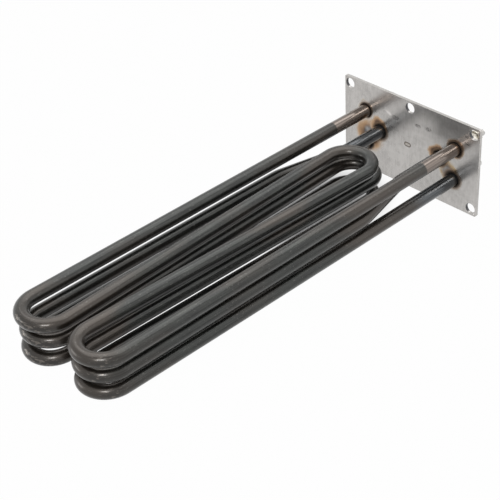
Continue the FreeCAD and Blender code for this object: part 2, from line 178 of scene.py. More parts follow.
class NodeGraph:
    """A thin hand on a node tree: adds nodes, wires them and sets their plain values."""

    def __init__(self, tree: bpy.types.NodeTree) -> None:
        """Start on an emptied tree."""
        self.tree = tree
        tree.nodes.clear()

    def add(self, kind: str, inputs: dict | None = None, **settings: object) -> Node:
        """Add a node.

        Args:
            kind: The node's type name, without the word ShaderNode in front.
            inputs: Values or sockets by the input's name or number.
            settings: The node's own properties.

        Returns:
            The new node.
        """
        node = self.tree.nodes.new(f"ShaderNode{kind}")
        for key, value in settings.items():
            setattr(node, key, value)
        for key, value in (inputs or {}).items():
            self.feed(node, key, value)
        return node

    def feed(self, node: Node, key: str | int, value: object) -> None:
        """Wire a socket to an input, or set the input's plain value.

        Args:
            node: The node that takes it.
            key: The input's name or number.
            value: A socket, a number, a vector or a colour.
        """
        socket = node.inputs[key]
        if isinstance(value, Socket):
            self.tree.links.new(value, socket)
        elif isinstance(value, tuple) and len(value) == 3 and len(socket.default_value) == 4:
            socket.default_value = (*value, 1.0)
        else:
            socket.default_value = value

    def math(self, operation: str, first: object, second: object = 0.0, clamp: bool = False) -> Socket:
        """Give the result of an operation on one or two numbers."""
        node = self.add("Math", {0: first, 1: second}, operation=operation, use_clamp=clamp)
        return node.outputs[0]

    def plus(self, first: object, second: object, clamp: bool = False) -> Socket:
        """Give the sum of two numbers."""
        return self.math("ADD", first, second, clamp)

    def minus(self, first: object, second: object) -> Socket:
        """Give the difference of two numbers."""
        return self.math("SUBTRACT", first, second)

    def times(self, first: object, second: object, clamp: bool = False) -> Socket:
        """Give the product of two numbers."""
        return self.math("MULTIPLY", first, second, clamp)

    def most(self, values: list[Socket]) -> Socket:
        """Give the largest of some numbers."""
        return functools.reduce(lambda first, second: self.math("MAXIMUM", first, second), values)

    def parts(self, vector: object) -> list[Socket]:
        """Give the three parts of a vector."""
        return list(self.add("SeparateXYZ", {0: vector}).outputs)

    def join(self, x: object, y: object, z: object) -> Socket:
        """Give the vector that three parts make."""
        return self.add("CombineXYZ", {0: x, 1: y, 2: z}).outputs[0]

    def vector(self, operation: str, first: object, second: object) -> Socket:
        """Give the vector that an operation on two vectors makes."""
        return self.add("VectorMath", {0: first, 1: second}, operation=operation).outputs["Vector"]

    def stretch(self, vector: object, scale: Point) -> Socket:
        """Give a vector with each of its parts multiplied."""
        return self.vector("MULTIPLY", vector, scale)

    def turned(self, vector: object, degrees: float) -> Socket:
        """Give a vector turned round Y."""
        inputs = {"Vector": vector, "Angle": math.radians(degrees)}
        return self.add("VectorRotate", inputs, rotation_type="Y_AXIS").outputs[0]

    def distance(self, first: object, second: object = ORIGIN) -> Socket:
        """Give the distance between two points, or the length of one vector."""
        return self.add("VectorMath", {0: first, 1: second}, operation="DISTANCE").outputs["Value"]

    def noise(
        self, vector: object, scale: object, detail: float = 3.0, rough: float = 0.5, output: str = "Fac",
    ) -> Socket:
        """Give noise over a vector in metres, as a number or, where output says Color, as a colour."""
        inputs = {"Vector": vector, "Scale": scale, "Detail": detail, "Roughness": rough}
        return self.add("TexNoise", inputs).outputs[output]

    def ramp(self, value: object, stops: tuple[Stop, ...]) -> Socket:
        """Give the colour that a number picks from a ramp.

        Args:
            value: The place on the ramp, from 0 to 1.
            stops: Places with their colours.

        Returns:
            The colour socket.
        """
        node = self.add("ValToRGB", {0: value})
        elements = node.color_ramp.elements
        while len(elements) < len(stops):
            elements.new(0.5)
        for element, (place, color) in zip(elements, stops):
            element.position = place
            element.color = (*color, 1.0)
        return node.outputs["Color"]

    def band(self, value: object, low: float, high: float) -> Socket:
        """Turn a number into a share that changes smoothly between two limits.

        Args:
            value: The number.
            low: Where the share is still 0.
            high: Where it is 1, on either side of low.

        Returns:
            The share.
        """
        rising = low < high
        inputs = {
            "Value": value, "From Min": min(low, high), "From Max": max(low, high),
            "To Min": 0.0 if rising else 1.0, "To Max": 1.0 if rising else 0.0,
        }
        return self.add("MapRange", inputs, interpolation_type="SMOOTHSTEP").outputs["Result"]

    def mix(self, factor: object, first: object, second: object) -> Socket:
        """Give the mix of two colours."""
        return self.add("Mix", {0: factor, 6: first, 7: second}, data_type="RGBA").outputs[2]

    def blend(self, factor: object, first: object, second: object) -> Socket:
        """Give the mix of two numbers."""
        return self.add("Mix", {0: factor, 2: first, 3: second}, data_type="FLOAT").outputs[0]


class SurfaceGroups:
    """The surface effects that several finishes share, each a node group that is built once."""

    def __init__(self) -> None:
        """Build the groups."""
        self.grain = self._build_grain()
        self.mottle = self._build_mottle()

    @staticmethod
    def _new(name: str, numbers: tuple[str, ...], outputs: tuple[str, ...]) -> tuple[NodeGraph, Node, Node]:
        """Make a group that reads a place and some numbers and puts numbers out.

        Args:
            name: The group's name.
            numbers: The names of the numbers that it reads.
            outputs: The names of the numbers that it puts out.

        Returns:
            A hand on its nodes, and its input and output node.
        """
        tree = bpy.data.node_groups.new(name, "ShaderNodeTree")
        tree.interface.new_socket("Place", in_out="INPUT", socket_type="NodeSocketVector")
        for way, labels in (("INPUT", numbers), ("OUTPUT", outputs)):
            for label in labels:
                tree.interface.new_socket(label, in_out=way, socket_type="NodeSocketFloat")
        graph = NodeGraph(tree)
        return graph, tree.nodes.new("NodeGroupInput"), tree.nodes.new("NodeGroupOutput")

    def _build_grain(self) -> bpy.types.NodeTree:
        """Build the fine lines that rolling or drawing leaves along one direction of the metal.

        Returns:
            The group.
        """
        graph, source, sink = self._new("drawn grain", ("Across", "Along"), ("Lines",))
        scales = [source.outputs[label] for label in ("Across", "Across", "Along")]
        parts = zip(graph.parts(source.outputs["Place"]), scales)
        scaled = [graph.times(part, scale) for part, scale in parts]
        graph.feed(sink, "Lines", graph.noise(graph.join(*scaled), 1.0, 4.0, 0.62))
        return graph.tree

    def _build_mottle(self) -> bpy.types.NodeTree:
        """Build the clouded, speckled look of scale on hot metal.

        Returns:
            The group.
        """
        graph, source, sink = self._new("scale mottle", ("Size",), ("Clouds", "Specks"))
        place, size = source.outputs["Place"], source.outputs["Size"]
        graph.feed(sink, "Clouds", graph.noise(place, size, 5.0, 0.6))
        graph.feed(sink, "Specks", graph.noise(place, graph.times(size, 9.0), 2.0, 0.7))
        return graph.tree


class MaterialNodes(NodeGraph):
    """The nodes of one material: its shader, the point on the piece, and the shared effects."""

    def __init__(self, material: bpy.types.Material, groups: SurfaceGroups) -> None:
        """Start with a plain shader.

        Args:
            material: What is wired.
            groups: The shared effects.
        """
        material.use_nodes = True
        super().__init__(material.node_tree)
        self.groups = groups
        self.shader = self.add("BsdfPrincipled")
        self.add("OutputMaterial", {"Surface": self.shader.outputs["BSDF"]})
        self.place = self.add("TexCoord").outputs["Object"]

    def shade(self, inputs: dict[str, object]) -> None:
        """Feed the shader's inputs."""
        for key, value in inputs.items():
            self.feed(self.shader, key, value)

    def grain(self, place: Socket, across: float, along: float) -> Socket:
        """Give the lines of the drawn grain, so many to a metre across it and along it."""
        inputs = {"Place": place, "Across": across, "Along": along}
        return self.add("Group", inputs, node_tree=self.groups.grain).outputs["Lines"]

    def mottle(self, place: Socket, size: float) -> tuple[Socket, Socket]:
        """Give the clouds, so many to a metre, and the finer specks of scale."""
        node = self.add("Group", {"Place": place, "Size": size}, node_tree=self.groups.mottle)
        return node.outputs["Clouds"], node.outputs["Specks"]

    def bump(self, height: Socket, strength: float, depth: float) -> None:
        """Raise the surface by a height from 0 to 1, where 1 is as many metres as the depth says."""
        node = self.add("Bump", {"Strength": strength, "Distance": depth, "Height": height})
        self.shade({"Normal": node.outputs["Normal"]})


class Finish:
    """A procedural finish that makes its material once."""

    name: str = "finish"

    def material(self, groups: SurfaceGroups) -> bpy.types.Material:
        """Make the material, or give it again.

        Args:
            groups: The shared effects.

        Returns:
            The material.
        """
        material = bpy.data.materials.get(self.name)
        if material is None:
            material = bpy.data.materials.new(self.name)
            self.paint(MaterialNodes(material, groups))
        return material

    def paint(self, nodes: MaterialNodes) -> None:
        """Wire the finish into the material's shader."""
        raise NotImplementedError


@dataclass(frozen=True)
class ScaledTube(Finish):
    """Dark oxide scale on an alloy sheath, worn on its bends and tinted beside the plate.

    What begins with end_ is the stretch beside the plate: end_length is how far it reaches from the
    plate and end_fade how softly it ends.
    """

    name: str = "scaled tube"
    dark: Color = (0.012, 0.0125, 0.012)
    light: Color = (0.044, 0.048, 0.0425)
    brown: Color = (0.053, 0.0405, 0.0315)
    fleck: Color = (0.15, 0.146, 0.135)
    burnish: Color = (0.024, 0.0228, 0.0214)
    rubbed: Color = (0.36, 0.315, 0.275)
    metal: float = 0.74
    coat: float = 0.45
    worn_rough: float = 0.24
    end_color: Color = (0.050, 0.056, 0.062)
    end_pale: Color = (0.115, 0.120, 0.128)
    end_length: float = 28 * MM
    end_fade: float = 16 * MM
    end_rough: float = 0.22
    end_metal: float = 0.70

    def paint(self, nodes: MaterialNodes) -> None:
        """Wire the scale, its wear and the tinted end into the shader.

        Args:
            nodes: The material's nodes.
        """
        rod = nodes.add("Attribute", attribute_name="rod_place").outputs["Vector"]
        bent = nodes.add("Attribute", attribute_name="pressed").outputs["Fac"]
        lines = nodes.grain(rod, 1500.0, 45.0)
        drawn = nodes.stretch(rod, (1.0, 1.0, 0.22))
        clouds, specks = nodes.mottle(drawn, 330.0)
        thin = nodes.band(clouds, 0.30, 0.74)
        streaks = nodes.band(lines, 0.40, 0.66)

        tone = nodes.plus(nodes.times(thin, 0.35), nodes.times(streaks, 0.60), clamp=True)
        scale = nodes.mix(tone, self.dark, self.light)
        rusty = nodes.band(nodes.noise(drawn, 48.0, 2.0), 0.42, 0.60)
        scale = nodes.mix(nodes.times(rusty, 0.72), scale, self.brown)
        fine = nodes.noise(nodes.stretch(rod, (1.0, 1.0, 0.5)), 1300.0, 2.0, 0.6)
        scale = nodes.mix(nodes.times(nodes.band(fine, 0.60, 0.72), 0.35), scale, self.fleck)

        patches = nodes.noise(rod, 75.0, 1.0)
        chips = nodes.noise(nodes.stretch(rod, (1.0, 1.0, 0.4)), 900.0, 3.0, 0.6)
        worn = nodes.times(nodes.times(bent, nodes.band(patches, 0.50, 0.58)), nodes.band(chips, 0.53, 0.64))
        worn = nodes.times(worn, 0.45)
        burnished = nodes.times(bent, nodes.blend(nodes.band(patches, 0.40, 0.60), 0.10, 0.60))
        polish = nodes.mix(streaks, tuple(0.6 * part for part in self.burnish), self.burnish)
        scale = nodes.mix(burnished, scale, polish)
        scale = nodes.mix(worn, scale, self.rubbed)

        wavy = nodes.times(nodes.minus(clouds, 0.5), 2.5 * MM)
        depth = nodes.plus(nodes.parts(nodes.place)[1], wavy)
        near_end = nodes.band(depth, -self.end_length - self.end_fade, -self.end_length)
        tint = nodes.mix(nodes.times(streaks, 0.5), self.end_color, self.end_pale)
        rough = nodes.blend(thin, 0.32, 0.42)
        for mask in (burnished, worn):
            rough = nodes.blend(mask, rough, self.worn_rough)
        nodes.shade({
            "Base Color": nodes.mix(nodes.times(near_end, 0.92), scale, tint),
            "Roughness": nodes.blend(near_end, rough, self.end_rough),
            "Metallic": nodes.blend(near_end, nodes.blend(worn, self.metal, 0.95), self.end_metal),
            "Specular IOR Level": 0.6,
            "Coat Weight": self.coat,
            "Coat Roughness": 0.15,
        })
        nodes.bump(nodes.plus(nodes.times(lines, 0.7), nodes.times(specks, 0.08)), 0.18, 0.05 * MM)


@dataclass(frozen=True)
class HeatTint:
    """The colours that brazing heat has left on the sheet round a tube's end, with lengths in millimetres.

    Attributes:
        layer: Whose end they lie round.
        side: -1 for the tube's left end and 1 for its right one.
        spread: How wide they reach round the flame.
        strength: How strongly they show.
        core: How wide the flame's own spot is.
        lean: How far to the right of the tube the flame was.
        rise: How far above the tube the flame was.
        fall: How far below the tube's middle they still show.
        burn: How wide the black ring at the tube's side is, heat-blackened metal with painted shade of the
            gap round the tube.
        rings: The colours, from the flame outward.
    """

    layer: Layer
    side: int
    spread: float
    strength: float
    core: float
    lean: float
    rise: float
    fall: float
    burn: float
    rings: tuple[Stop, ...]


BROWN_RINGS = (
    (0.00, (0.040, 0.027, 0.020)), (0.25, (0.120, 0.075, 0.048)),
    (0.50, (0.340, 0.215, 0.130)), (0.80, (0.560, 0.440, 0.330)),
)
BLUED_RINGS = (
    (0.00, (0.085, 0.091, 0.105)), (0.12, (0.120, 0.123, 0.132)), (0.24, (0.130, 0.092, 0.066)),
    (0.42, (0.300, 0.185, 0.110)), (0.66, (0.500, 0.330, 0.195)), (0.88, (0.580, 0.480, 0.380)),
)
ORANGE_RINGS = (
    (0.00, (0.110, 0.068, 0.045)), (0.22, (0.260, 0.160, 0.098)), (0.50, (0.480, 0.315, 0.190)),
    (0.85, (0.580, 0.470, 0.370)),
)
GOLD_RINGS = (
    (0.00, (0.120, 0.118, 0.128)), (0.22, (0.150, 0.132, 0.118)), (0.38, (0.210, 0.145, 0.095)),
    (0.64, (0.430, 0.310, 0.165)), (0.88, (0.560, 0.490, 0.380)),
)


@dataclass(frozen=True)
class TintedFlange(Finish):
    """Satin stainless sheet with a faint grain, scuffs, a punch mark and heat tint round the tubes, with
    painted shade in the black ring at each tube and on the bolt holes' left walls.

    Attributes:
        deep: The sheet's darker smears.
        bright: The slanting pale spot.
        wall_shade: The painted shade on the left walls of the bolt holes.
        stain: The bed of the punch mark.
        fringe: The brown rim outside the black ring.
        soot_and_gap_shade: The black ring: heat-blackened metal and painted shade of the gap round the tube.
        mark_run: Half the straight length of the punch mark, between its round ends.
        smudges: Place across, height and size of each smudge, in millimetres.
    """

    name: str = "heat tinted flange"
    pale: Color = (0.58, 0.56, 0.54)
    deep: Color = (0.44, 0.424, 0.408)
    scratch: Color = (0.30, 0.29, 0.28)
    smudge: Color = (0.11, 0.105, 0.10)
    bright: Color = (0.86, 0.82, 0.79)
    wall_shade: Color = (0.035, 0.036, 0.042)
    stain: Color = (0.36, 0.31, 0.26)
    mark_rim: Color = (0.085, 0.062, 0.045)
    fringe: Color = (0.185, 0.120, 0.072)
    soot_and_gap_shade: Color = (0.022, 0.014, 0.009)
    metal: float = 0.74
    # layer, side, spread, strength, core, lean, rise, fall, burn and rings
    tints: tuple[HeatTint, ...] = (
        HeatTint(Layer.LOWER, -1, 11.0, 1.0, 2.5, 2.2, 6.3, 5.0, 2.2, BLUED_RINGS),
        HeatTint(Layer.LOWER, 1, 8.0, 1.0, 1.0, -4.2, 5.3, 2.0, 2.9, GOLD_RINGS),
        HeatTint(Layer.UPPER, -1, 2.6, 0.5, 4.25, -0.8, 0.6, 2.0, 1.4, GOLD_RINGS),
        HeatTint(Layer.UPPER, 1, 3.4, 0.8, 4.25, 0.3, 0.2, 20.0, 2.2, BROWN_RINGS),
        HeatTint(Layer.MIDDLE, -1, 4.6, 1.0, 3.6, -0.9, 2.8, 20.0, 2.5, ORANGE_RINGS),
        HeatTint(Layer.MIDDLE, 1, 3.9, 1.0, 3.9, -1.3, 1.6, 20.0, 2.3, BROWN_RINGS),
    )
    pale_spot_place: Point = (-17.4 * MM, 0.0, 16.6 * MM)
    mark_place: Pair = (-1.4 * MM, -0.5 * MM)
    mark_run: float = 1.1 * MM
    mark_radius: float = 1.3 * MM
    smudges: tuple[Point, ...] = (
        (6.6, 16.3, 2.1), (15.0, 16.9, 2.2), (-11.8, 15.4, 2.4), (46.0, 18.4, 1.8), (45.4, 23.0, 1.3),
    )

    def paint(self, nodes: MaterialNodes) -> None:
        """Wire the sheet's grain, marks and heat tint into the shader.

        Args:
            nodes: The material's nodes.
        """
        lines = nodes.grain(nodes.place, 1300.0, 90.0)
        clouds, _ = nodes.mottle(nodes.place, 60.0)
        blotch = nodes.noise(nodes.place, 260.0, 4.0, 0.65)
        smears = nodes.plus(nodes.times(clouds, 0.35), nodes.times(blotch, 0.35))
        tone = nodes.plus(nodes.times(lines, 0.30), smears)
        clean = nodes.mix(nodes.band(tone, 0.36, 0.60), self.deep, self.pale)
        sheet = nodes.mix(self._scratches(nodes), clean, self.scratch)
        sheet = nodes.mix(self._smudged(nodes), sheet, self.smudge)
        sheet = nodes.mix(self._pale_spot(nodes), sheet, self.bright)
        sheet = self._mark(nodes, sheet)
        middle = 0.5 * BUNDLE.plate_thickness
        front = nodes.band(nodes.parts(nodes.place)[1], 1.2 * middle, 0.8 * middle)
        sheet = nodes.mix(front, clean, sheet)
        # Painted shade: the left walls of the bolt holes are darkened.
        sheet = nodes.mix(self._shaded_hole_walls(nodes), sheet, self.wall_shade)

        color, burnt_and_shaded = self._heat(nodes, sheet)
        nodes.shade({
            "Base Color": color,
            "Roughness": nodes.blend(burnt_and_shaded, nodes.blend(clouds, 0.20, 0.30), 0.62),
            "Metallic": nodes.blend(burnt_and_shaded, self.metal, 0.2),
            "Specular IOR Level": 0.2,
        })
        nodes.bump(lines, 0.12, 0.04 * MM)

    def _heat(self, nodes: MaterialNodes, sheet: Socket) -> tuple[Socket, Socket]:
        """Lay the rings of heat tint round the tubes over the sheet, and the black ring at each tube, which
        is heat-blackened metal and painted shade of the gap.

        Args:
            nodes: The material's nodes.
            sheet: The sheet's colour.

        Returns:
            The tinted colour, and how far the black ring of heat-blackened metal and painted gap shade covers
            it, from 0 to 1.
        """
        flat = nodes.stretch(nodes.place, (1.0, 0.0, 1.0))
        height = nodes.parts(nodes.place)[2]
        wobble = nodes.vector("SUBTRACT", nodes.noise(nodes.place, 110.0, output="Color"), (0.5, 0.5, 0.5))
        swerved = nodes.vector("ADD", flat, nodes.stretch(wobble, (6.0 * MM, 0.0, 6.0 * MM)))
        patchy = nodes.noise(flat, 95.0, 2.0)
        patches = nodes.blend(nodes.band(patchy, 0.36, 0.56), 0.55, 1.0)
        ragged = nodes.times(nodes.minus(patchy, 0.5), 2.2 * MM)
        color = sheet
        blacks: list[Socket] = []
        browns: list[Socket] = []
        for tint in self.tints:
            plan = BUNDLE.plan(tint.layer)
            x = tint.side * plan.end_offset
            away = nodes.minus(nodes.distance(flat, (x, 0.0, plan.height)), BUNDLE.tube_radius)
            uneven = nodes.plus(away, ragged)
            burn = tint.burn * MM
            # Black ring round each tube: heat-blackened metal and painted shade of the gap.
            blacks.append(nodes.band(uneven, burn, 0.18 * burn))
            browns.append(nodes.band(uneven, 1.45 * burn, 0.75 * burn))
            lowest = plan.height - tint.fall * MM
            above = nodes.times(nodes.band(height, lowest - 4.5 * MM, lowest), tint.strength)
            flame = (x + tint.lean * MM, 0.0, plan.height + tint.rise * MM)
            loose = nodes.minus(nodes.distance(swerved, flame), tint.core * MM)
            ring = nodes.times(loose, 1 / (tint.spread * MM), clamp=True)
            fade = nodes.times(nodes.band(ring, 1.0, 0.58), above)
            color = nodes.mix(nodes.times(fade, patches), color, nodes.ramp(ring, tint.rings))
        burnt_and_shaded = nodes.most(blacks)
        color = nodes.mix(nodes.times(nodes.most(browns), 0.70), color, self.fringe)
        # Painted gap shade and heat-blackened metal in one near-black colour.
        color = nodes.mix(nodes.times(burnt_and_shaded, 0.93), color, self.soot_and_gap_shade)
        return color, burnt_and_shaded

    def _mark(self, nodes: MaterialNodes, sheet: Socket) -> Socket:
        """Stain the rim and the bed of the oval punch mark.

        Args:
            nodes: The material's nodes.
            sheet: The sheet's colour.

        Returns:
            The stained colour.
        """
        across, up = self.mark_place
        flat = nodes.vector("SUBTRACT", nodes.stretch(nodes.place, (1.0, 0.0, 1.0)), (across, 0.0, up))
        ends = {"Value": nodes.parts(flat)[0], "Min": -self.mark_run, "Max": self.mark_run}
        spine = nodes.join(nodes.add("Clamp", ends).outputs[0], 0.0, 0.0)
        away = nodes.minus(nodes.distance(flat, spine), self.mark_radius)
        rim = nodes.band(nodes.math("ABSOLUTE", away), 0.65 * MM, 0.15 * MM)
        bed = nodes.band(away, 0.0, -0.5 * MM)
        sheet = nodes.mix(nodes.times(bed, 0.45), sheet, self.stain)
        return nodes.mix(nodes.times(rim, 0.80), sheet, self.mark_rim)

    def _smudged(self, nodes: MaterialNodes) -> Socket:
        """Lay the small rubbed smudges above the plate's middle.

        Args:
            nodes: The material's nodes.

        Returns:
            Their mask, from 0 to 1.
        """
        ragged = nodes.noise(nodes.place, 1100.0, 3.0, 0.7)
        spots = []
        for x, z, size in self.smudges:
            offset = nodes.vector("SUBTRACT", nodes.place, (x * MM, 0.0, z * MM))
            away = nodes.distance(nodes.stretch(offset, (0.60, 0.0, 1.1)))
            spots.append(nodes.band(away, size * MM, 0.25 * size * MM))
        return nodes.times(nodes.most(spots), nodes.times(nodes.band(ragged, 0.40, 0.54), 0.85))

    @staticmethod
    def _scratches(nodes: MaterialNodes) -> Socket:
        """Lay a few thin slanting scratches.

        Args:
            nodes: The material's nodes.

        Returns:
            Their mask, from 0 to 1.
        """
        lines = nodes.noise(nodes.stretch(nodes.turned(nodes.place, 28), (2600.0, 0.0, 55.0)), 1.0, 1.0)
        sparse = nodes.band(nodes.noise(nodes.place, 70.0, 1.0), 0.50, 0.62)
        return nodes.times(nodes.times(nodes.band(lines, 0.66, 0.74), sparse), 0.30)

    def _pale_spot(self, nodes: MaterialNodes) -> Socket:
        """Lay the slanting pale spot beside the upper left end.

        Args:
            nodes: The material's nodes.

        Returns:
            Its mask, from 0 to 1.
        """
        offset = nodes.vector("SUBTRACT", nodes.place, self.pale_spot_place)
        away = nodes.distance(nodes.stretch(nodes.turned(offset, -20), (0.5, 0.0, 1.3)))
        return nodes.times(nodes.band(away, 1.9 * MM, 0.5 * MM), 0.8)

    @staticmethod
    def _shaded_hole_walls(nodes: MaterialNodes) -> Socket:
        """Pick out the left walls of the bolt holes, which get painted shade.

        Args:
            nodes: The material's nodes.

        Returns:
            Their mask, from 0 to 1.
        """
        x, _, z = nodes.parts(nodes.place)
        step = 0.5 * BUNDLE.bolt_step
        across = nodes.add("Math", {0: x, 1: step, 2: -step}, operation="WRAP").outputs[0]
        up = nodes.minus(nodes.math("ABSOLUTE", z), BUNDLE.bolt_row)
        rim = BUNDLE.bolt_radius
        wall_shade = nodes.band(nodes.distance(nodes.join(across, 0.0, up)), rim + 0.16 * MM, rim + 0.08 * MM)
        return nodes.times(wall_shade, nodes.times(nodes.band(across, -0.8 * MM, -2.6 * MM), 0.9))


@dataclass(frozen=True)
class Clouded(Finish):
    """A material whose colour, roughness and metal follow soft clouds, from the darkest to the palest.

    Attributes:
        size: How many clouds lie in a metre.
        relief: How strongly its fine raised specks show, which relief_depth says the height of.
    """

    name: str = "clouded"
    size: float = 300.0
    stops: tuple[Stop, ...] = ()
    rough: Pair = (0.5, 0.5)
    metal: Pair | None = None
    relief: float = 0.25
    relief_depth: float = 0.05 * MM

    def paint(self, nodes: MaterialNodes) -> None:
        """Wire the clouds and the specks into the shader.

        Args:
            nodes: The material's nodes.
        """
        clouds, specks = nodes.mottle(nodes.place, self.size)
        color = nodes.ramp(clouds, self.stops)
        nodes.shade({"Base Color": color, "Roughness": nodes.blend(clouds, *self.rough)})
        if self.metal is not None:
            nodes.shade({"Metallic": nodes.blend(nodes.band(clouds, 0.35, 0.6), *self.metal)})
        nodes.bump(specks, self.relief, self.relief_depth)


@dataclass(frozen=True)
class BrazeMetal(Clouded):
    """Braze metal with flux stain, brassy where it is clean."""

    name: str = "stained braze"
    size: float = 420.0
    stops: tuple[Stop, ...] = (
        (0.30, (0.050, 0.036, 0.026)), (0.50, (0.23, 0.165, 0.085)), (0.68, (0.46, 0.37, 0.22)),
    )
    rough: Pair = (0.62, 0.30)
    metal: Pair | None = (0.4, 1.0)
    relief: float = 0.4
    relief_depth: float = 0.08 * MM


@dataclass(frozen=True)
class Steatite(Clouded):
    """Unglazed white ceramic, faintly stained."""

    name: str = "white steatite"
    stops: tuple[Stop, ...] = (
        (0.28, (0.66, 0.61, 0.52)), (0.48, (0.83, 0.80, 0.74)), (0.70, (0.88, 0.86, 0.81)),
    )
    rough: Pair = (0.42, 0.62)


@dataclass(frozen=True)
class TurnedMetal(Finish):
    """Plain or plated turned metal with patches that are dull, and rougher by the dulling."""

    name: str = "turned steel"
    clean: Color = (0.78, 0.775, 0.76)
    dull: Color = (0.55, 0.54, 0.52)
    shine: float = 0.28
    dulling: float = 0.24

    def paint(self, nodes: MaterialNodes) -> None:
        """Wire the metal and its dulled patches into the shader.

        Args:
            nodes: The material's nodes.
        """
        clouds, specks = nodes.mottle(nodes.place, 340.0)
        dulled = nodes.band(clouds, 0.62, 0.40)
        nodes.shade({
            "Base Color": nodes.mix(dulled, self.clean, self.dull),
            "Roughness": nodes.blend(dulled, self.shine, self.shine + self.dulling),
            "Metallic": nodes.blend(dulled, 1.0, 0.85),
        })
        nodes.bump(specks, 0.15, 0.03 * MM)


def add_object(name: str, data: bpy.types.ID) -> bpy.types.Object:
    """Put new data in the scene as an object.

    Args:
        name: The object's name.
        data: A mesh, a lamp or a camera.

    Returns:
        The object.
    """
    made = bpy.data.objects.new(name, data)
    bpy.context.scene.collection.objects.link(made)
    return made


def split(geometry: list) -> tuple[list[Vert], list[Edge]]:
    """Pick the verts and the edges out of what an operator made."""
    return tuple([item for item in geometry if isinstance(item, kind)] for kind in (Vert, Edge))


class Workshop:
    """Turns finished meshes into pieces that ride on the body, and reports each."""

    def __init__(self) -> None:
        """Build the shared surface effects."""
        self.groups = SurfaceGroups()

    def replace_solid(self, node: str, mesh: Mesh, finish: Finish, smooth_deg: float) -> None:
        """Put a piece made of a mesh in place of the solid that it dresses.

        Args:
            node: The solid that it stands for.
            mesh: Its mesh, which is freed here.
            finish: What it is made of.
            smooth_deg: Edges that turn more than this stay sharp.
        """
        name = f"{node}_skin"
        bmesh.ops.recalc_face_normals(mesh, faces=mesh.faces)
        data = bpy.data.meshes.new(name)
        mesh.to_mesh(data)
        mesh.free()
        data.materials.append(finish.material(self.groups))
        data.shade_smooth()
        data.set_sharp_from_angle(angle=math.radians(smooth_deg))
        piece = add_object(name, data)
        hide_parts(node)
        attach(piece, BODY)
        LOG.info("%s: %d faces", name, len(data.polygons))

    def dress_solid(self, node: str, finish: Finish) -> None:
        """Give a solid that keeps its own shape a finish.

        Args:
            node: The solid.
            finish: What it is made of.
        """
        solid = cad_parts[node]
        material = finish.material(self.groups)
        for slot in solid.material_slots:
            slot.material = material
        LOG.info("%s: dressed", node)


@dataclass
class BentRing:
    """A ring of verts on a hairpin bend.

    Attributes:
        space: What takes its verts into its own axes: along the rod, across it and up.
        share: How far the bending tool pressed it, from 0 to 1.
        way: 1 where the bend turns left and -1 where it turns right.
    """

    verts: list[Vert]
    space: Matrix
    share: float
    way: float


